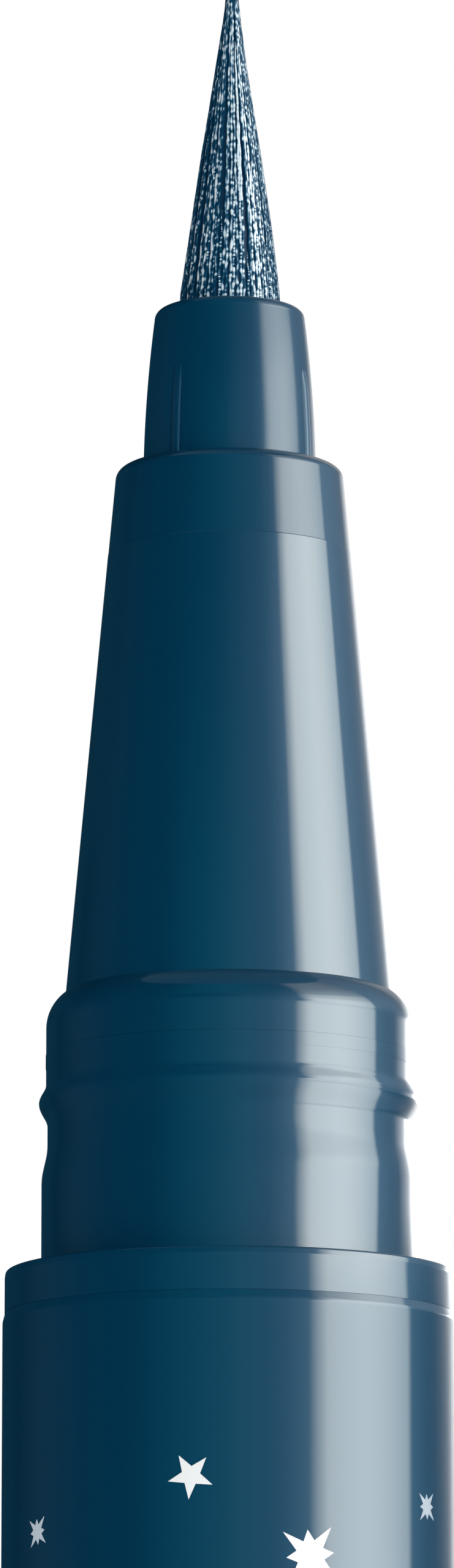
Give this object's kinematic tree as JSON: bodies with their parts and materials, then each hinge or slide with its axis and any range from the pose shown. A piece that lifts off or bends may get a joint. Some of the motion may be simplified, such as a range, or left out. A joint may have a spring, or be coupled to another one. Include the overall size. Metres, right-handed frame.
{
  "type": "liquid eyeliner pen",
  "caption": "Free-ink brush eyeliner pen with a collector feed, snap nose and long cone, standing brush up with its cap posted on the tail.",
  "frame": {"origin": "centre of the bounding box's lowest face: the closed end of the posted cap", "axes": "+Z along the pen, from the posted cap to the brush; -Y is the side the picture shows"},
  "size_m": [0.011, 0.011, 0.1561],
  "materials": {
    "teal_shell": "glossy moulded",
    "teal_fittings": "glossy moulded",
    "brush_filament": "fine lengthwise filaments",
    "fused_filament": "fused",
    "white_fittings": "moulded",
    "soft_white": "soft moulded",
    "clear_tank": "milky clear",
    "fibre": "bonded fibre",
    "seal_rubber": "satin",
    "steel": "bright"
  },
  "bodies": {
    "pen": {"barrel": "teal_shell", "front_section": "teal_fittings", "nose_cone": "teal_fittings", "nose_ferrule": "teal_fittings", "brush_tip": "brush_filament", "brush_heel": "fused_filament", "nib_retainer": "white_fittings", "feed_pipe": "white_fittings", "overflow_wick": "fibre", "collector": "white_fittings", "relay_core": "fibre", "tank_joint": "white_fittings", "tank_seal_ring": "seal_rubber", "ink_tank": "clear_tank", "tail_cushion": "seal_rubber", "tail_plug": "teal_fittings"},
    "cap": {"cap_shell": "teal_shell", "cap_spring": "steel", "inner_cap_retainer": "white_fittings"},
    "seal_cup": {"inner_cap": "soft_white"},
    "ball": {"mixing_ball": "steel"}
  },
  "joints": [
    {"name": "cap_pull", "type": "slide", "parent": "pen", "child": "cap", "axis": [0, 0, -1], "range_m": [0, 0.03]},
    {"name": "inner_cap_press", "type": "slide", "parent": "cap", "child": "seal_cup", "axis": [0, 0, -1], "range_m": [0, 0.0012], "stiffness_N_per_m": 250, "springref_m": -0.0016, "deforming": ["cap_spring"]},
    {"name": "ball_roll", "type": "slide", "parent": "pen", "child": "ball", "axis": [0, 0, 1], "range_m": [0, 0.05]}
  ]
}
